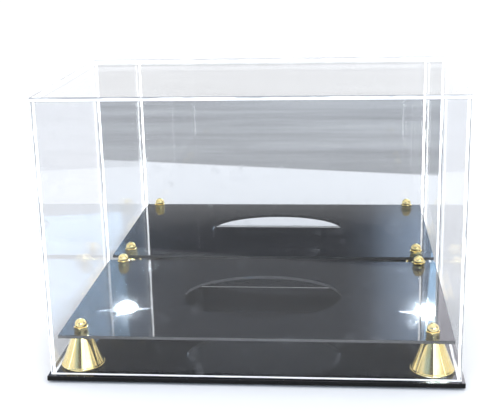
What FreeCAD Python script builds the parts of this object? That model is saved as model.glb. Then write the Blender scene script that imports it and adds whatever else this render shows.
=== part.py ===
"""Football display case: a black base on bumper feet, a glossy platform on four gold risers,
and a clear five-sided cover with a mirrored back that lifts straight off.

Millimetres. +Z is up, -Y is the front, +X is to the viewer's right. The origin is at the
middle of the footprint, on the surface that the case stands on.
"""
import FreeCAD, Part
import math
import os

import Sketcher

SIZES = {
    # clear cover, outside
    "cover_width": 305.0,
    "cover_depth": 196.0,
    "cover_height": 210.5,
    "panel_thickness": 3.0,
    # black base
    "base_overhang": 2.5,
    "base_thickness": 4.0,
    "edge_break": 0.4,
    # bumper feet
    "foot_height": 1.5,
    "foot_radius": 5.0,
    "foot_inset": 12.0,
    "foot_rounding": 0.6,
    # raised platform
    "platform_width": 296.0,
    "platform_depth": 177.0,
    "platform_thickness": 2.5,
    "cutout_length": 130.0,
    "cutout_width": 96.0,
    # risers
    "riser_spacing_x": 265.0,
    "riser_spacing_y": 155.5,
    "riser_height": 25.5,
    "riser_foot_radius": 15.9,
    "riser_bead_height": 3.2,
    "riser_bead_radius": 2.0,
    "riser_top_radius": 7.0,
    "riser_wall": 1.3,
    "riser_cap": 2.0,
    "riser_mouth_radius": 13.0,
    # countersunk screws
    "screw_radius": 2.0,
    "screw_length": 38.0,
    "screw_head_radius": 4.0,
    "screw_clearance": 0.15,
    "head_clearance": 0.1,
    "recess_length": 4.6,
    "recess_width": 0.9,
    "recess_depth": 1.1,
    # washers and cap nuts
    "washer_radius": 4.8,
    "washer_thickness": 1.0,
    "nut_width": 10.0,
    "nut_height": 2.7,
    "nut_bevel_radius": 4.9,
    "dome_radius": 4.7,
    "dome_centre": 3.8,
    "nut_bore_radius": 2.05,
    "nut_bore_depth": 5.6,
}

CORNERS = {
    "front_left": (-1, -1),
    "front_right": (1, -1),
    "back_left": (-1, 1),
    "back_right": (1, 1),
}

# How far each nut is turned, in degrees about Z, from one flat facing the front.
NUT_TURNS = {"front_left": 27.0, "front_right": 17.0, "back_left": -20.0, "back_right": -6.0}
BEVEL_SLOPE = math.sqrt(3.0)

ROOT_POINT = (-1, 1)
X_AXIS = -1
Y_AXIS = -2
START, END, CENTRE = 1, 2, 3

doc = FreeCAD.newDocument("football_display_case")


class Size:
    """A length in mm, with the spreadsheet formula that gives it."""

    def __init__(self, value, formula):
        self.value = value
        self.formula = formula

    def joined(self, sign, other, value):
        right = other.formula if isinstance(other, Size) else repr(other)
        return Size(value, f"({self.formula} {sign} {right})")

    def __add__(self, other):
        return self.joined("+", other, self.value + number(other))

    def __sub__(self, other):
        return self.joined("-", other, self.value - number(other))

    def __mul__(self, other):
        return self.joined("*", other, self.value * number(other))

    def __truediv__(self, other):
        return self.joined("/", other, self.value / number(other))


def number(length):
    return length.value if isinstance(length, Size) else length


def fill_sheet():
    """Write the driving dimensions into the sheet, one named cell each."""
    sheet = doc.addObject("Spreadsheet::Sheet", "Sizes")
    for row, (name, value) in enumerate(SIZES.items(), start=1):
        sheet.set(f"A{row}", name)
        sheet.set(f"B{row}", str(value))
        sheet.setAlias(f"B{row}", name)
    doc.recompute()


def size(name):
    return Size(SIZES[name], f"Sizes.{name}")


def bind(item, field, length):
    item.setExpression(field, length.formula)


def place(item, x=None, y=None, z=None):
    """Put a finished piece in the case's frame."""
    for field, length in (("x", x), ("y", y), ("z", z)):
        if length is not None:
            bind(item, f"Placement.Base.{field}", length)


# ---------------------------------------------------------------- sketches and features

def new_body(name):
    body = doc.addObject("PartDesign::Body", name)
    body.Label = name
    return body


def sketch_on(body, role, name):
    """A new sketch on one of the body's own origin planes."""
    sketch = body.newObject("Sketcher::SketchObject", name)
    plane = next(item for item in body.Origin.OriginFeatures if item.Role == role)
    sketch.AttachmentSupport = (plane, [""])
    sketch.MapMode = "FlatFace"
    return sketch


def dimension(sketch, kind, *where, length):
    index = sketch.addConstraint(Sketcher.Constraint(kind, *where, length.value))
    sketch.setExpression(f"Constraints[{index}]", length.formula)


def locate(sketch, point, x, y):
    """Tie a sketch point to the two axes; None means on the axis."""
    for kind, axis, length in (("DistanceX", Y_AXIS, x), ("DistanceY", X_AXIS, y)):
        if length is None:
            sketch.addConstraint(Sketcher.Constraint("PointOnObject", *point, axis))
        else:
            dimension(sketch, kind, *ROOT_POINT, *point, length=length)


def bulging_arc(start, end, radius):
    """The arc from start to end that swells to the right of the way between them."""
    half = (end - start) / 2
    inward = FreeCAD.Vector(-half.y, half.x, 0).normalize()
    middle = start + half
    centre = middle + inward * math.sqrt(radius**2 - half.Length**2)
    return Part.Arc(start, centre - inward * radius, end)


def draw_outline(sketch, corners, bulge=None):
    """A closed outline through the given corners, anticlockwise where it has a bulge.

    The sides are straight, except that the first one swells outwards where bulge gives its radius.
    """
    points = [FreeCAD.Vector(x.value if x else 0, y.value if y else 0, 0) for x, y in corners]
    count = len(points)
    first = sketch.GeometryCount
    for i in range(count):
        start, end = points[i], points[(i + 1) % count]
        is_arc = bulge is not None and i == 0
        sketch.addGeometry(bulging_arc(start, end, bulge.value) if is_arc else Part.LineSegment(start, end))
    for i in range(count):
        following = first + (i + 1) % count
        sketch.addConstraint(Sketcher.Constraint("Coincident", first + i, END, following, START))
    for i, (x, y) in enumerate(corners):
        locate(sketch, (first + i, START), x, y)
    if bulge is not None:
        dimension(sketch, "Radius", first, length=bulge)


def draw_rectangle(sketch, width, depth):
    """A rectangle centred on the sketch's origin."""
    right, back = width / 2, depth / 2
    left, front = width / -2, depth / -2
    draw_outline(sketch, [(left, front), (right, front), (right, back), (left, back)])


def draw_circle(sketch, x, y, radius):
    centre = FreeCAD.Vector(x.value, y.value, 0)
    circle = sketch.addGeometry(Part.Circle(centre, FreeCAD.Vector(0, 0, 1), radius.value))
    locate(sketch, (circle, CENTRE), x, y)
    dimension(sketch, "Radius", circle, length=radius)


def draw_ellipse(sketch, length, width):
    """An ellipse centred on the sketch's origin, with its long axis along X."""
    long_end = FreeCAD.Vector(length.value / 2, 0, 0)
    short_end = FreeCAD.Vector(0, width.value / 2, 0)
    ellipse = sketch.addGeometry(Part.Ellipse(long_end, short_end, FreeCAD.Vector()))
    sketch.exposeInternalGeometry(ellipse)
    long_axis, short_axis = ellipse + 1, ellipse + 2
    sketch.addConstraint(Sketcher.Constraint("Coincident", ellipse, CENTRE, *ROOT_POINT))
    sketch.addConstraint(Sketcher.Constraint("Horizontal", long_axis))
    dimension(sketch, "Distance", long_axis, START, long_axis, END, length=length)
    dimension(sketch, "Distance", short_axis, START, short_axis, END, length=width)


def pad(body, sketch, height):
    feature = body.newObject("PartDesign::Pad", "Pad")
    feature.Profile = sketch
    bind(feature, "Length", height)
    return feature


def pocket_up(body, sketch, depth=None):
    """Cut upwards from the sketch: to a depth, or right through."""
    feature = body.newObject("PartDesign::Pocket", "Pocket")
    feature.Profile = sketch
    feature.Reversed = True
    if depth is None:
        feature.Type = "ThroughAll"
    else:
        bind(feature, "Length", depth)
    return feature


def revolve(body, sketch):
    """Turn a sketch of the XZ plane round the body's Z axis."""
    feature = body.newObject("PartDesign::Revolution", "Revolution")
    feature.Profile = sketch
    feature.ReferenceAxis = (sketch, ["V_Axis"])
    feature.Angle = 360
    return feature


def edges_where(feature, test):
    shape = feature.Shape
    return [f"Edge{i}" for i, edge in enumerate(shape.Edges, start=1) if test(edge.BoundBox)]


def outer_edges(width, depth):
    """A test for the edges that lie in the four side faces of a centred plate."""
    tolerance = 1e-4

    def test(box):
        at_side = abs(abs(box.Center.x) - width.value / 2) < tolerance
        at_front_or_back = abs(abs(box.Center.y) - depth.value / 2) < tolerance
        return at_side or at_front_or_back
    return test


def break_edges(body, feature, test, kind, field, amount):
    """Round or bevel the chosen edges of a feature."""
    doc.recompute()
    dressup = body.newObject(f"PartDesign::{kind}", kind)
    dressup.Base = (feature, edges_where(feature, test))
    bind(dressup, field, amount)
    return dressup


def draw_screw_circles(sketch, radius):
    """One circle at each riser's axis."""
    for side, end in CORNERS.values():
        x = size("riser_spacing_x") * (side / 2)
        y = size("riser_spacing_y") * (end / 2)
        draw_circle(sketch, x, y, radius)


# ---------------------------------------------------------------- heights of the stack

base_bottom = size("foot_height")
base_top = base_bottom + size("base_thickness")
platform_bottom = base_top + size("riser_height")
platform_top = platform_bottom + size("platform_thickness")
wall_height = size("cover_height") - size("panel_thickness")
base_width = size("cover_width") + size("base_overhang") * 2
base_depth = size("cover_depth") + size("base_overhang") * 2


# ---------------------------------------------------------------- the stand

def make_base():
    """Flat plate, countersunk from below for the four screws."""
    body = new_body("base_plate")
    outline = sketch_on(body, "XY_Plane", "BaseOutline")
    draw_rectangle(outline, base_width, base_depth)
    plate = pad(body, outline, size("base_thickness"))
    plate = break_edges(body, plate, outer_edges(base_width, base_depth),
                        "Chamfer", "Size", size("edge_break"))
    doc.recompute()

    centres = sketch_on(body, "XY_Plane", "ScrewCentres")
    hole_radius = size("screw_radius") + size("screw_clearance")
    draw_screw_circles(centres, hole_radius)
    doc.recompute()
    hole = body.newObject("PartDesign::Hole", "CountersunkHoles")
    hole.Profile = centres
    hole.Reversed = True
    hole.DepthType = "ThroughAll"
    hole.HoleCutType = "Countersink"
    hole.HoleCutCustomValues = True
    hole.HoleCutCountersinkAngle = 90
    bind(hole, "Diameter", hole_radius * 2)
    bind(hole, "HoleCutDiameter", (size("screw_head_radius") + size("head_clearance")) * 2)
    body.Tip = hole
    place(body, z=base_bottom)
    return body


def make_foot(corner, side, end):
    """Round bumper foot near one corner of the base."""
    body = new_body(f"bumper_foot_{corner}")
    outline = sketch_on(body, "XY_Plane", "FootOutline")
    origin = size("foot_radius") * 0
    draw_circle(outline, origin, origin, size("foot_radius"))
    disc = pad(body, outline, size("foot_height"))
    body.Tip = break_edges(body, disc, lambda box: box.ZMax < 1e-4,
                           "Fillet", "Radius", size("foot_rounding"))
    place(body, x=(base_width / 2 - size("foot_inset")) * side,
          y=(base_depth / 2 - size("foot_inset")) * end)
    return body


def make_riser(corner, side, end):
    """Hollow cone with a rounded bead round its foot and a bored cap at its top."""
    body = new_body(f"riser_{corner}")
    wall = size("riser_wall")
    height = size("riser_height")
    foot, top = size("riser_foot_radius"), size("riser_top_radius")
    bead_height = size("riser_bead_height")
    cap_bottom = height - size("riser_cap")
    bore = size("screw_radius") + size("screw_clearance")
    section = sketch_on(body, "XZ_Plane", "RiserSection")
    draw_outline(section, [
        (foot, None),
        (foot, bead_height),
        (top, height),
        (bore, height),
        (bore, cap_bottom),
        (top - wall / 2, cap_bottom),
        (foot - wall, bead_height),
        (size("riser_mouth_radius"), None),
    ], bulge=size("riser_bead_radius"))
    revolve(body, section)
    place(body, x=size("riser_spacing_x") * (side / 2), y=size("riser_spacing_y") * (end / 2),
          z=base_top)
    return body


def make_screw(corner, side, end):
    """Countersunk screw with a cross recess, up through base, riser and platform."""
    body = new_body(f"screw_{corner}")
    section = sketch_on(body, "XZ_Plane", "ScrewSection")
    head_depth = size("screw_head_radius") - size("screw_radius")
    draw_outline(section, [
        (None, None),
        (size("screw_head_radius"), None),
        (size("screw_radius"), head_depth),
        (size("screw_radius"), size("screw_length")),
        (None, size("screw_length")),
    ])
    revolve(body, section)
    slot = sketch_on(body, "XY_Plane", "RecessOutline")
    draw_rectangle(slot, size("recess_length"), size("recess_width"))
    recess = pocket_up(body, slot, size("recess_depth"))
    cross = body.newObject("PartDesign::PolarPattern", "CrossRecess")
    cross.Originals = [recess]
    cross.Axis = (slot, ["N_Axis"])
    cross.Angle = 90
    cross.Occurrences = 2
    body.Tip = cross
    place(body, x=size("riser_spacing_x") * (side / 2), y=size("riser_spacing_y") * (end / 2),
          z=base_bottom)
    return body


def make_platform():
    """Glossy platform: an oval seat for the ball and a hole over each riser."""
    body = new_body("display_platform")
    width, depth = size("platform_width"), size("platform_depth")
    outline = sketch_on(body, "XY_Plane", "PlatformOutline")
    draw_rectangle(outline, width, depth)
    plate = pad(body, outline, size("platform_thickness"))
    break_edges(body, plate, outer_edges(width, depth), "Chamfer", "Size", size("edge_break") / 2)
    seat = sketch_on(body, "XY_Plane", "BallSeat")
    draw_ellipse(seat, size("cutout_length"), size("cutout_width"))
    pocket_up(body, seat)
    holes = sketch_on(body, "XY_Plane", "ScrewHoles")
    draw_screw_circles(holes, size("screw_radius") + size("screw_clearance"))
    body.Tip = pocket_up(body, holes)
    place(body, z=platform_bottom)
    return body


def make_washer(corner, side, end):
    """Plain washer between the platform and the nut."""
    body = new_body(f"washer_{corner}")
    outline = sketch_on(body, "XY_Plane", "WasherOutline")
    origin = size("washer_radius") * 0
    draw_circle(outline, origin, origin, size("washer_radius"))
    draw_circle(outline, origin, origin, size("screw_radius") + size("screw_clearance"))
    body.Tip = pad(body, outline, size("washer_thickness"))
    place(body, x=size("riser_spacing_x") * (side / 2), y=size("riser_spacing_y") * (end / 2),
          z=platform_top)
    return body


def make_cap_nut(corner, side, end):
    """Hexagonal nut with bevelled corners and a domed cap, bored from below for the screw."""
    prefix = f"cap_nut_{corner}"
    height = size("nut_height")
    narrow = size("nut_bevel_radius")
    wide = narrow + height * BEVEL_SLOPE

    prism = doc.addObject("Part::Prism", f"{prefix}_prism")
    prism.Polygon = 6
    prism.Placement.Rotation = FreeCAD.Rotation(FreeCAD.Vector(0, 0, 1), NUT_TURNS[corner])
    bind(prism, "Circumradius", size("nut_width") / math.sqrt(3.0))
    bind(prism, "Height", height)
    bevels = []
    for end_name, low, high in (("top", wide, narrow), ("foot", narrow, wide)):
        bevel = doc.addObject("Part::Cone", f"{prefix}_{end_name}_bevel")
        bind(bevel, "Radius1", low)
        bind(bevel, "Radius2", high)
        bind(bevel, "Height", height)
        bevels.append(bevel)
    hexagon = doc.addObject("Part::MultiCommon", f"{prefix}_hexagon")
    hexagon.Shapes = [prism, *bevels]

    dome = doc.addObject("Part::Sphere", f"{prefix}_dome")
    bind(dome, "Radius", size("dome_radius"))
    drop = size("dome_centre") / size("dome_radius")
    dome.setExpression("Angle1", f"-asin({drop.formula})")
    place(dome, z=size("dome_centre"))
    outside = doc.addObject("Part::Fuse", f"{prefix}_outside")
    outside.Base, outside.Tool = hexagon, dome
    bore = doc.addObject("Part::Cylinder", f"{prefix}_bore")
    bind(bore, "Radius", size("nut_bore_radius"))
    bind(bore, "Height", size("nut_bore_depth"))
    nut = doc.addObject("Part::Cut", prefix)
    nut.Label = prefix
    nut.Base, nut.Tool = outside, bore
    place(nut, x=size("riser_spacing_x") * (side / 2), y=size("riser_spacing_y") * (end / 2),
          z=platform_top + size("washer_thickness"))
    return nut


# ---------------------------------------------------------------- the cover

def make_panel(name, width, depth, height, x=None, y=None, z=None):
    """One flat acrylic panel, given by its size along X, Y and Z."""
    body = new_body(name)
    outline = sketch_on(body, "XY_Plane", "PanelOutline")
    draw_rectangle(outline, width, depth)
    body.Tip = pad(body, outline, height)
    place(body, x=x, y=y, z=z)
    return body


def make_cover():
    """Front and mirror run the full width, the sides fit between them, the top laps all four."""
    thickness = size("panel_thickness")
    width, depth = size("cover_width"), size("cover_depth")
    side_x = (width - thickness) / 2
    end_y = (depth - thickness) / 2
    side_depth = depth - thickness * 2
    return [
        make_panel("front_panel", width, thickness, wall_height, y=end_y * -1, z=base_top),
        make_panel("mirror_panel", width, thickness, wall_height, y=end_y, z=base_top),
        make_panel("left_panel", thickness, side_depth, wall_height, x=side_x * -1, z=base_top),
        make_panel("right_panel", thickness, side_depth, wall_height, x=side_x, z=base_top),
        make_panel("top_panel", width, depth, thickness, z=base_top + wall_height),
    ]


# ---------------------------------------------------------------- build, check and export

def check(nodes):
    """Stop unless every object recomputed and every piece is one valid solid."""
    doc.recompute()
    for item in doc.Objects:
        if {"Invalid", "Error"} & set(item.State):
            raise RuntimeError(f"{item.Name}: {item.State}")
    for node in nodes:
        shape = node.Shape
        if shape.isNull() or not shape.isValid() or len(shape.Solids) != 1:
            raise RuntimeError(f"{node.Label}: not one valid solid")


fill_sheet()
nodes = [make_base(), make_platform()]
for corner, (side, end) in CORNERS.items():
    for make in (make_foot, make_riser, make_screw, make_washer, make_cap_nut):
        nodes.append(make(corner, side, end))
nodes += make_cover()
check(nodes)

os.makedirs("parts", exist_ok=True)
for node in nodes:
    node.Shape.exportStep(f"parts/{node.Label}.step")
    box = node.Shape.BoundBox
    print(f"{node.Label:28s} {node.Shape.Volume:12.1f} mm3  "
          f"x {box.XMin:8.2f} {box.XMax:8.2f}  y {box.YMin:8.2f} {box.YMax:8.2f}  "
          f"z {box.ZMin:7.2f} {box.ZMax:7.2f}")
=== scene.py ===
"""Looks for the football display case: materials, small visible details, light and camera.

Sizes are in metres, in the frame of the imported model: X to the viewer's right, Y to the
mirrored back, Z up.
"""

import math

import bmesh
import bpy
from mathutils import Matrix, Vector


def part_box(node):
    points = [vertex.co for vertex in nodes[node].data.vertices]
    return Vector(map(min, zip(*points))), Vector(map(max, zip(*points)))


MM = 0.001
CORNERS = ("front_left", "front_right", "back_left", "back_right")
CLEAR_PANELS = {"X": ("left_panel", "right_panel"), "Y": ("front_panel",), "Z": ("top_panel",)}

# Camera: where it stands, how it is turned (right, down and clockwise are positive), and its lens.
CAMERA_PLACE = (0.06728, -0.78581, 0.33257)
CAMERA_YAW = math.radians(-5.513)
CAMERA_PITCH = math.radians(15.924)
CAMERA_ROLL = math.radians(1.342)
CAMERA_LENS = 73.43
SENSOR_WIDTH = 36.0

# Clear and mirrored sheets.
ACRYLIC_IOR = 1.49
ACRYLIC_FACING = 0.028  # reflection of one acrylic surface seen straight on
SHEET_TINT = (0.968, 0.970, 0.973, 1.0)  # light passed by one surface of a clear sheet
PAINTED_EDGE_GLOW = 0.55  # painted glow (emission) of a clear sheet's edge, standing in for light it gives back from inside the sheet
PAINTED_REAR_JOINT_GLOW = 6.0  # painted glow at the glued joints at the mirror, standing in for the lamp's light they gather
PAINTED_FRONT_JOINT_GLOW = 1.0  # painted glow at the upright glued joints in front
EDGE_COVER = 0.85  # how little is seen through a sheet's edge
EDGE_TURN = (0.52, 0.72)  # span of depths in the sheet where its edge's painted light wanders from white to grey
EDGE_BLUR = 0.12
BROAD_FACE = 0.9  # a face looks along an axis where its normal's share of that axis is above this
GRAZING_LIMITS = {"X": 0.17, "Y": 0.35, "Z": 0.42}  # most that one surface reflects, by its axis
SHEET_GAP = 0.05 * MM  # shrinks each sheet, so that no two faces lie in one plane
SHEET_CHAMFER = 0.35 * MM
WELD_DISTANCE = 0.001 * MM
CHAMFERED_ANGLE = math.radians(30.0)  # edges sharper than this get a chamfer

NOISE_LOW = 0.3  # noise seldom leaves the span from low to high
NOISE_HIGH = 0.7

# Dust and hairline scratches on the sheets.
SPECK_SCALE = 900.0
SPECK_LEVELS = (0.69, 0.76)  # noise where a speck starts and where it is full
SCRATCH_LEVELS = (0.685, 0.72)  # the same for a scratch
SCRATCH_SETS = ((0.35, 11.0), (-0.8, 14.0), (1.3, 9.0))  # turn in radians and stretch of each set

# Black sheets.
FACE_GLOSS = 0.5  # specular level of the broad faces
UPRIGHT_LIMIT = 0.3  # a face is upright where its normal's share of Z is below this

# Stage: the floor, and the front edge of the white paper on it, with its slope in plan.
FLOOR_REACH = 6.0
PAPER_EDGE = -0.388
PAPER_BLUR = 0.006
PAPER_SLOPE = 0.2
PAPER_WHITE = 0.98

# Surroundings: their plain brightness, and a band round the room that has its own.
SURROUNDINGS = (1.11, 1.11, 1.12)
BAND_FOOT = (0.24, 0.30)  # height, as a sine, where the band starts and where it is full
BAND_HEAD = (0.75, 0.55)  # height where it has ended and up to which it is full
# Colours of the band by azimuth in degrees, 0 towards the viewer and positive to the right.
ROOM = (
    (-180, (0.60, 0.70, 0.90)),
    (-150, (0.60, 0.70, 0.90)),
    (-140, (1.20, 1.20, 1.22)),
    (-84, (1.10, 1.10, 1.12)),
    (-72, (0.50, 0.60, 0.78)),
    (-26, (0.40, 0.56, 0.82)),
    (-18, (0.26, 0.34, 0.44)),
    (-10, (0.09, 0.10, 0.12)),
    (1, (0.09, 0.10, 0.12)),
    (4, (1.40, 1.80, 2.40)),
    (16, (1.40, 1.80, 2.40)),
    (22, (2.40, 2.70, 3.20)),
    (60, (2.60, 2.80, 3.20)),
    (72, (0.18, 0.18, 0.19)),
    (98, (0.22, 0.22, 0.23)),
    (116, (1.10, 1.10, 1.12)),
    (158, (1.30, 1.30, 1.32)),
    (166, (3.40, 3.30, 3.60)),
    (178, (3.40, 3.30, 3.60)),
    (180, (0.60, 0.70, 0.90)),
)

# Lights.
CASE_MIDDLE = (0.0, 0.0, 0.08)
WHITE = (1.0, 1.0, 1.0)
COOL = (0.42, 0.70, 1.0)
LAMP_COLOUR = (0.80, 0.91, 1.0)
INDIRECT_CLAMP = 80.0  # high, so that the lamps' reflections stay bright
SOFTBOXES = (
    ("overhead_softbox", (0.0, 0.3, 1.7), (1.6, 1.6), 0.4, WHITE),
    ("right_softbox", (0.54, -2.0, 0.87), (0.44, 0.50), 5.0, COOL),
)
LAMP_GAP = 0.004  # between two ellipses of a lamp, because in one plane they hide each other
# Lamps behind the viewer, each a bright core with narrow flares; the main one has a faint halo too.
# Every ellipse is (width, height, radiance, tilt in degrees).
LAMPS = (
    ("main_lamp", (0.320, -2.0, 0.912), (
        (0.066, 0.042, 300.0, 0.0),
        (0.084, 0.060, 8.0, 0.0),
        (0.108, 0.082, 3.0, 0.0),
        (0.136, 0.108, 1.2, 0.0),
        (0.170, 0.136, 0.6, 0.0),
        (0.170, 0.008, 26.0, 0.0),
        (0.007, 0.105, 14.0, 0.0),
        (0.110, 0.006, 11.0, 40.0),
        (0.110, 0.006, 11.0, -40.0),
    )),
    ("small_lamp", (-0.684, -2.0, 0.936), (
        (0.018, 0.020, 200.0, 0.0),
        (0.006, 0.200, 24.0, 0.0),
        (0.070, 0.004, 40.0, 45.0),
        (0.070, 0.004, 40.0, -45.0),
    )),
)


# ---------------------------------------------------------------- node helpers


class Tree:
    """A material's or world's node tree, with short calls for the nodes used here."""

    def __init__(self, owner):
        owner.use_nodes = True
        self.nodes = owner.node_tree.nodes
        self.links = owner.node_tree.links
        self.nodes.clear()

    def add(self, kind, inputs=None, **settings):
        """A new node. inputs maps a socket's name or number to a value or to another node's output."""
        node = self.nodes.new("ShaderNode" + kind)
        for key, value in settings.items():
            setattr(node, key, value)
        for key, value in (inputs or {}).items():
            if isinstance(value, bpy.types.NodeSocket):
                self.links.new(value, node.inputs[key])
            else:
                node.inputs[key].default_value = value
        return node

    def math(self, operation, a, b=0.0, c=0.0, clamp=False):
        return self.add("Math", {0: a, 1: b, 2: c}, operation=operation, use_clamp=clamp).outputs[0]

    def split(self, vector):
        return self.add("SeparateXYZ", {0: vector}).outputs

    def share(self, vector, axis):
        """Size of a vector's part along X, Y or Z."""
        return self.math("ABSOLUTE", self.split(vector)["XYZ".index(axis)])

    def ramp(self, value, *stops):
        """A colour ramp over (position, grey or colour) stops; returns its colour output."""
        node = self.add("ValToRGB", {0: value})
        elements = node.color_ramp.elements
        while len(elements) < len(stops):
            elements.new(0.5)
        for element, (position, colour) in zip(elements, stops):
            element.position = position
            element.color = colour_of(colour)
        return node.outputs[0]

    def step(self, value, low, high, to_low=0.0, to_high=1.0):
        """value taken smoothly from to_low, where it is low, to to_high, where it is high."""
        inputs = {"Value": value, "From Min": low, "From Max": high, "To Min": to_low, "To Max": to_high}
        return self.add("MapRange", inputs, interpolation_type="SMOOTHSTEP").outputs["Result"]

    def noise(self, vector, scale, detail=3.0, roughness=0.5, distortion=0.0):
        inputs = {
            "Vector": vector,
            "Scale": scale,
            "Detail": detail,
            "Roughness": roughness,
            "Distortion": distortion,
        }
        return self.add("TexNoise", inputs).outputs["Fac"]

    def mix(self, factor, a, b):
        """Two colours mixed."""
        node = self.add("Mix", data_type="RGBA")
        for socket, value in zip((node.inputs[0], node.inputs[6], node.inputs[7]), (factor, a, b)):
            if isinstance(value, bpy.types.NodeSocket):
                self.links.new(value, socket)
            elif socket is node.inputs[0]:
                socket.default_value = value
            else:
                socket.default_value = colour_of(value)
        return node.outputs[2]

    def mix_shader(self, factor, a, b):
        return self.add("MixShader", {0: factor, 1: a, 2: b}).outputs[0]

    def bump(self, height, strength, distance):
        inputs = {"Height": height, "Strength": strength, "Distance": distance}
        return self.add("Bump", inputs).outputs[0]

    def principled(self, **inputs):
        named = {key.replace("_", " "): value for key, value in inputs.items()}
        return self.add("BsdfPrincipled", named).outputs[0]

    def place(self):
        """The point in the row frame at rest, in metres."""
        return self.add("TexCoord").outputs["Object"]

    def normal(self):
        return self.add("NewGeometry").outputs["True Normal"]

    def output(self, shader, kind="OutputMaterial"):
        self.add(kind, {"Surface": shader})


def colour_of(value):
    """An RGBA tuple from a grey number or a colour."""
    if isinstance(value, (int, float)):
        return (value, value, value, 1.0)
    return tuple(value) + (1.0,) * (4 - len(value))


def new_material(name):
    material = bpy.data.materials.new(name)
    return material, Tree(material)


# ---------------------------------------------------------------- materials


def dust_and_scratches(tree, place, scratch_scale=60.0):
    """(dust, scratches): two masks from 0 to 1, specks of dust and fine hairline scratches."""
    specks = tree.noise(place, SPECK_SCALE, detail=1.0)
    dust = tree.step(specks, *SPECK_LEVELS)
    lines = None
    for turn, stretch in SCRATCH_SETS:
        mapping = {"Vector": place, "Rotation": (0.0, 0.0, turn), "Scale": (1.0, stretch, 1.0)}
        turned = tree.add("Mapping", mapping).outputs[0]
        streak = tree.step(tree.noise(turned, scratch_scale, detail=2.0), *SCRATCH_LEVELS)
        lines = streak if lines is None else tree.math("MAXIMUM", lines, streak)
    return dust, lines


def make_black_acrylic(name, edge_tone_and_painted_highlight, edge_gloss):
    """Glossy black sheet: a near-perfect polish with light dust, smudges and hairline scratches.

    Its sawn edges have a tone and a gloss set apart; a lighter edge tone is a painted highlight, for the
    light a polished edge catches.
    """
    material, tree = new_material(name)
    place = tree.place()
    upright = tree.math("LESS_THAN", tree.share(tree.normal(), "Z"), UPRIGHT_LIMIT)
    dust, lines = dust_and_scratches(tree, place)
    smudge = tree.step(tree.noise(place, 22.0, detail=4.0, distortion=0.6), 0.52, 0.75)
    rough = tree.math("MULTIPLY_ADD", smudge, 0.010, 0.006)
    rough = tree.math("MULTIPLY_ADD", lines, 0.05, rough)
    rough = tree.math("MULTIPLY_ADD", dust, 0.4, rough)
    colour = tree.mix(tree.math("MULTIPLY", dust, 0.35), (0.006, 0.006, 0.008), (0.30, 0.30, 0.31))
    colour = tree.mix(tree.math("MULTIPLY", lines, 0.10), colour, (0.22, 0.22, 0.24))
    # Edge tone with saw marks; on the platform it is a painted highlight.
    saw_marks = tree.noise(place, 160.0, detail=2.0)
    edge_colour = tree.mix(saw_marks, edge_tone_and_painted_highlight * 0.7, edge_tone_and_painted_highlight * 1.3)
    shader = tree.principled(
        Base_Color=tree.mix(upright, colour, edge_colour),
        Roughness=rough,
        Specular_IOR_Level=tree.math("MULTIPLY_ADD", upright, edge_gloss - FACE_GLOSS, FACE_GLOSS),
        IOR=ACRYLIC_IOR,
        Normal=tree.bump(tree.noise(place, 7.0, detail=1.0), strength=0.01, distance=0.0004),
    )
    tree.output(shader)
    return material


def acrylic_surface(tree, limit):
    """Share of light that one acrylic surface reflects, the same from outside and from within."""
    facing = tree.add("LayerWeight", {"Blend": 0.5}).outputs["Facing"]
    power = tree.math("POWER", facing, 5.0)
    share = tree.math("MULTIPLY_ADD", power, 1.0 - ACRYLIC_FACING, ACRYLIC_FACING)
    return tree.math("MINIMUM", share, limit)


def painted_glow_edge(tree, place, depth, strength=PAINTED_EDGE_GLOW):
    """Polished sheet edge with painted light, for the light it gathers: glowing and white towards the
    inside of the box, then greyer.

    depth runs from 0 at the sheet's inner face to 1 at its outer face.
    """
    wander = tree.noise(place, 55.0, detail=2.0)
    turn = tree.step(wander, 0.35, 0.65, *EDGE_TURN)
    outer = tree.math("DIVIDE", tree.math("SUBTRACT", depth, turn), EDGE_BLUR, clamp=True)
    specks = tree.step(tree.noise(place, 420.0, detail=1.0), 0.62, 0.7)
    # Painted light: white where the edge gathers light, grey further out.
    shade = tree.mix(outer, (0.95, 0.96, 0.97), (0.42, 0.43, 0.44))
    shade = tree.mix(tree.math("MULTIPLY", specks, 0.35), shade, (0.55, 0.56, 0.57))
    # Painted glow: emission on the inner part of the edge, though the edge is no lamp.
    glow = tree.math("MULTIPLY", tree.math("SUBTRACT", 1.0, outer), strength)
    return tree.principled(
        Base_Color=shade,
        Roughness=0.15,
        IOR=ACRYLIC_IOR,
        Emission_Color=(1.0, 1.0, 1.0, 1.0),
        Emission_Strength=glow,
    )


def depth_in_sheet(tree, place, axis, inner, outer):
    """0 at the inner face of a sheet between inner and outer along axis, 1 at its outer face."""
    inputs = {"Value": tree.share(place, axis), "From Min": inner, "From Max": outer}
    return tree.add("MapRange", inputs).outputs["Result"]


def painted_side_wall_glow(tree):
    """Painted glow of a side wall's edges: brighter at the glued joint in front, and most at the mirror.
    """
    forward = tree.split(tree.normal())[1]
    rear = tree.math("GREATER_THAN", forward, BROAD_FACE)
    front = tree.math("LESS_THAN", forward, -BROAD_FACE)
    glow = tree.math("MULTIPLY_ADD", rear, PAINTED_REAR_JOINT_GLOW - PAINTED_EDGE_GLOW, PAINTED_EDGE_GLOW)
    return tree.math("MULTIPLY_ADD", front, PAINTED_FRONT_JOINT_GLOW - PAINTED_EDGE_GLOW, glow)


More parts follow.
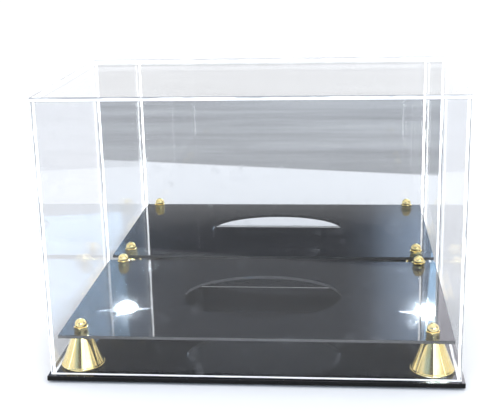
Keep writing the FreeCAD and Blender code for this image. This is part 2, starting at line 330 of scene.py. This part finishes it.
def make_clear_acrylic(axis, inner, outer):
    """Clear sheet whose broad faces look along axis. The sheet's edges are polished and carry painted
    light: a glow and a white-to-grey tone for the light they gather.
    """
    material, tree = new_material(f"clear_acrylic_look_{axis}")
    place = tree.place()
    edge = tree.math("LESS_THAN", tree.share(tree.normal(), axis), BROAD_FACE)

    dust, lines = dust_and_scratches(tree, place, scratch_scale=45.0)
    clear = tree.add("BsdfTransparent", {"Color": SHEET_TINT}).outputs[0]
    gloss = tree.add("BsdfGlossy", {"Color": (1.0, 1.0, 1.0, 1.0), "Roughness": 0.0}).outputs[0]
    sheet = tree.mix_shader(acrylic_surface(tree, GRAZING_LIMITS[axis]), clear, gloss)
    haze = tree.add("BsdfDiffuse", {"Color": (0.8, 0.8, 0.82, 1.0)}).outputs[0]
    soiled = tree.math("MAXIMUM", tree.math("MULTIPLY", dust, 0.10), tree.math("MULTIPLY", lines, 0.03))
    sheet = tree.mix_shader(soiled, sheet, haze)

    strength = painted_side_wall_glow(tree) if axis == "X" else PAINTED_EDGE_GLOW
    edges = painted_glow_edge(tree, place, depth_in_sheet(tree, place, axis, inner, outer), strength)
    tree.output(tree.mix_shader(tree.math("MULTIPLY", edge, EDGE_COVER), sheet, edges))
    return material


def make_mirror_acrylic(inner, outer):
    """Mirror on the face that looks forward, grey paint behind, polished edges with painted glow between.
    """
    material, tree = new_material("mirror_acrylic_look")
    place = tree.place()
    facing = tree.split(tree.normal())[1]
    front = tree.math("LESS_THAN", facing, -BROAD_FACE)
    back = tree.math("GREATER_THAN", facing, BROAD_FACE)

    wave = tree.bump(tree.noise(place, 5.0, detail=0.0), strength=0.01, distance=0.001)
    dust, lines = dust_and_scratches(tree, place)
    marks = tree.math("MAXIMUM", tree.math("MULTIPLY", dust, 0.5), tree.math("MULTIPLY", lines, 0.25))
    mirror = tree.principled(
        Base_Color=(0.86, 0.87, 0.875, 1.0),
        Metallic=1.0,
        Roughness=tree.math("MULTIPLY", marks, 0.2),
        Normal=wave,
    )
    grain = tree.noise(place, 350.0, detail=3.0)
    paint = tree.principled(
        Base_Color=tree.ramp(grain, (NOISE_LOW, (0.20, 0.21, 0.22)), (NOISE_HIGH, (0.27, 0.28, 0.29))),
        Roughness=tree.step(grain, NOISE_LOW, NOISE_HIGH, to_low=0.45, to_high=0.6),
        Normal=tree.bump(grain, strength=0.15, distance=0.0004),
    )
    edges = painted_glow_edge(tree, place, depth_in_sheet(tree, place, "Y", inner, outer))
    shader = tree.mix_shader(back, edges, paint)
    tree.output(tree.mix_shader(front, shader, mirror))
    return material


def make_polished_gold():
    """Bright gold plate, its colour and polish slightly uneven."""
    material, tree = new_material("polished_gold_look")
    place = tree.place()
    cloud = tree.noise(place, 60.0, detail=3.0)
    fine = tree.noise(place, 700.0, detail=2.0)
    shader = tree.principled(
        Base_Color=tree.ramp(cloud, (0.35, (0.93, 0.74, 0.30)), (0.65, (0.98, 0.83, 0.42))),
        Metallic=1.0,
        Roughness=tree.step(fine, NOISE_LOW, NOISE_HIGH, to_low=0.05, to_high=0.10),
        Normal=tree.bump(fine, strength=0.02, distance=0.0001),
    )
    tree.output(shader)
    return material


def make_zinc_steel():
    """Zinc-plated screw steel, with a blue-white cast and a fine turned grain."""
    material, tree = new_material("zinc_steel_look")
    place = tree.place()
    grain = tree.noise(place, 1500.0, detail=2.0)
    shader = tree.principled(
        Base_Color=tree.ramp(grain, (NOISE_LOW, (0.48, 0.50, 0.53)), (NOISE_HIGH, (0.62, 0.64, 0.67))),
        Metallic=1.0,
        Roughness=tree.step(grain, NOISE_LOW, NOISE_HIGH, to_low=0.25, to_high=0.4),
        Normal=tree.bump(grain, strength=0.1, distance=0.0001),
    )
    tree.output(shader)
    return material


def make_clear_rubber():
    """Clear soft bumper, slightly milky."""
    material, tree = new_material("clear_rubber_look")
    place = tree.place()
    milk = tree.noise(place, 500.0, detail=2.0)
    shader = tree.principled(
        Base_Color=tree.ramp(milk, (NOISE_LOW, (0.70, 0.71, 0.70)), (NOISE_HIGH, (0.82, 0.83, 0.82))),
        Roughness=tree.step(milk, NOISE_LOW, NOISE_HIGH, to_low=0.22, to_high=0.34),
        IOR=1.45,
        Transmission_Weight=0.5,
        Normal=tree.bump(milk, strength=0.08, distance=0.0002),
    )
    tree.output(shader)
    return material


# ---------------------------------------------------------------- modifiers on the CAD nodes


def finish_sheet(node):
    """Small polished chamfers and a hair of clearance on a sheet, by modifiers only."""
    weld = node.modifiers.new("join_faces", "WELD")
    weld.merge_threshold = WELD_DISTANCE
    gap = node.modifiers.new("clearance", "DISPLACE")
    gap.strength = -SHEET_GAP
    gap.mid_level = 0.0
    bevel = node.modifiers.new("chamfer", "BEVEL")
    bevel.width = SHEET_CHAMFER
    bevel.segments = 2
    bevel.limit_method = "ANGLE"
    bevel.angle_limit = CHAMFERED_ANGLE
    bevel.harden_normals = True


def wear(node, material):
    """Puts one material on every slot of a node."""
    for slot in node.material_slots:
        slot.material = material


# ---------------------------------------------------------------- stage, light and camera


def make_floor():
    """A pale floor: white paper under and behind the case, a light grey table further forward."""
    mesh = bpy.data.meshes.new("floor")
    grid = bmesh.new()
    bmesh.ops.create_grid(grid, x_segments=8, y_segments=8, size=FLOOR_REACH)
    grid.to_mesh(mesh)
    grid.free()
    floor = bpy.data.objects.new("floor", mesh)
    bpy.context.scene.collection.objects.link(floor)

    material, tree = new_material("floor_paper")
    place = tree.place()
    across, forward, _ = tree.split(place)
    sheet = tree.math("MULTIPLY_ADD", across, -PAPER_SLOPE, forward)
    paper = tree.step(sheet, PAPER_EDGE - PAPER_BLUR, PAPER_EDGE + PAPER_BLUR)
    streak_map = {"Vector": place, "Rotation": (0.0, 0.0, 0.35), "Scale": (0.5, 3.0, 1.0)}
    streak = tree.noise(tree.add("Mapping", streak_map).outputs[0], 3.5, detail=4.0, roughness=0.6)
    table = tree.ramp(streak, (NOISE_LOW, 0.36), (NOISE_HIGH, 0.56))
    colour = tree.mix(paper, table, PAPER_WHITE)
    fibre = tree.noise(place, 400.0, detail=2.0)
    shader = tree.principled(
        Base_Color=colour,
        Roughness=0.8,
        Specular_IOR_Level=0.1,
        Normal=tree.bump(fibre, strength=0.02, distance=0.0005),
    )
    tree.output(shader)
    mesh.materials.append(material)


def make_world():
    """Soft surroundings, white above and below a band that ROOM colours by azimuth."""
    world = bpy.data.worlds.new("soft_studio")
    bpy.context.scene.world = world
    tree = Tree(world)
    direction = tree.add("TexCoord").outputs["Generated"]
    x, y, z = tree.split(direction)
    azimuth = tree.math("ARCTAN2", x, tree.math("MULTIPLY", y, -1.0))
    turn = tree.math("MULTIPLY_ADD", azimuth, 0.5 / math.pi, 0.5)
    room = tree.ramp(turn, *((angle / 360.0 + 0.5, colour) for angle, colour in ROOM))
    band = tree.math("MULTIPLY", tree.step(z, *BAND_FOOT), tree.step(z, *BAND_HEAD))
    colour = tree.mix(band, SURROUNDINGS, room)
    background = tree.add("Background", {"Color": colour, "Strength": 1.0}).outputs[0]
    tree.output(background, "OutputWorld")


def area_light(name, place, size, radiance, colour, shape="RECTANGLE", tilt=0.0):
    """A flat light of (width, height) at place that looks at the case; the camera doesn't see it."""
    width, height = size
    area = width * height if shape == "RECTANGLE" else math.pi * width * height / 4.0
    data = bpy.data.lights.new(name, "AREA")
    data.shape = shape
    data.size = width
    data.size_y = height
    data.energy = math.pi * area * radiance
    data.color = colour
    light = bpy.data.objects.new(name, data)
    light.location = place
    aim = Vector(CASE_MIDDLE) - Vector(place)
    facing = aim.to_track_quat("-Z", "Y").to_matrix()
    light.rotation_euler = (facing @ Matrix.Rotation(math.radians(tilt), 3, "Z")).to_euler()
    light.visible_camera = False
    bpy.context.scene.collection.objects.link(light)


def make_lights():
    """The softboxes, and the lamps, with each ellipse a little nearer the case than the one before."""
    for softbox in SOFTBOXES:
        area_light(*softbox)
    for name, place, ellipses in LAMPS:
        for index, (width, height, radiance, tilt) in enumerate(ellipses):
            spaced = (place[0], place[1] + index * LAMP_GAP, place[2])
            area_light(f"{name}_{index}", spaced, (width, height), radiance, LAMP_COLOUR, "ELLIPSE", tilt)


def make_camera():
    """The camera, turned right by its yaw, then down by its pitch, then clockwise by its roll."""
    yaw, pitch, roll = CAMERA_YAW, CAMERA_PITCH, CAMERA_ROLL
    forward = Vector((math.sin(yaw) * math.cos(pitch), math.cos(yaw) * math.cos(pitch), -math.sin(pitch)))
    level = Vector((math.cos(yaw), -math.sin(yaw), 0.0))
    down = forward.cross(level)
    right = level * math.cos(roll) + down * math.sin(roll)
    up = level * math.sin(roll) - down * math.cos(roll)
    turn = Matrix((right, up, -forward)).transposed().to_4x4()
    data = bpy.data.cameras.new("camera")
    data.lens = CAMERA_LENS
    data.sensor_width = SENSOR_WIDTH
    data.clip_start = 0.01
    data.clip_end = 50.0
    camera = bpy.data.objects.new("camera", data)
    camera.matrix_world = Matrix.Translation(CAMERA_PLACE) @ turn
    bpy.context.scene.collection.objects.link(camera)
    bpy.context.scene.camera = camera


def set_up_view():
    """Plain colours, and light paths long enough for a wall seen through a wall and the mirror."""
    scene = bpy.context.scene
    scene.view_settings.view_transform = "Standard"
    scene.cycles.sample_clamp_indirect = INDIRECT_CLAMP
    scene.cycles.max_bounces = 16
    scene.cycles.glossy_bounces = 10
    scene.cycles.transmission_bounces = 12
    scene.cycles.transparent_max_bounces = 40


# ---------------------------------------------------------------- the scene

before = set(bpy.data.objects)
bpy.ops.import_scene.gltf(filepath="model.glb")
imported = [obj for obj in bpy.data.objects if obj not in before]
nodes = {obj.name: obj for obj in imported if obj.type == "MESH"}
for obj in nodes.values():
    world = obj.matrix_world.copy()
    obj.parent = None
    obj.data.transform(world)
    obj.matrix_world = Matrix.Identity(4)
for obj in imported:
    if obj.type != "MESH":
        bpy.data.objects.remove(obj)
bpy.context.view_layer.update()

base_black = make_black_acrylic("base_acrylic_look", edge_tone_and_painted_highlight=0.004, edge_gloss=0.2)
# The platform's grey edge tone is a painted highlight, for the light its polished edge catches.
platform_black = make_black_acrylic("platform_acrylic_look", edge_tone_and_painted_highlight=0.10, edge_gloss=0.5)
gold = make_polished_gold()
zinc = make_zinc_steel()
rubber = make_clear_rubber()

wear(nodes["base_plate"], base_black)
wear(nodes["display_platform"], platform_black)
for corner in CORNERS:
    wear(nodes[f"bumper_foot_{corner}"], rubber)
    wear(nodes[f"riser_{corner}"], gold)
    wear(nodes[f"screw_{corner}"], zinc)
    wear(nodes[f"washer_{corner}"], gold)
    wear(nodes[f"cap_nut_{corner}"], gold)

for axis, panels in CLEAR_PANELS.items():
    faces = sorted(abs(point["XYZ".index(axis)]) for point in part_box(panels[0]))
    clear = make_clear_acrylic(axis, *faces)
    for panel in panels:
        wear(nodes[panel], clear)
        finish_sheet(nodes[panel])
mirror_faces = sorted(point.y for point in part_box("mirror_panel"))
wear(nodes["mirror_panel"], make_mirror_acrylic(*mirror_faces))
finish_sheet(nodes["mirror_panel"])

make_floor()
make_world()
make_lights()
make_camera()
set_up_view()
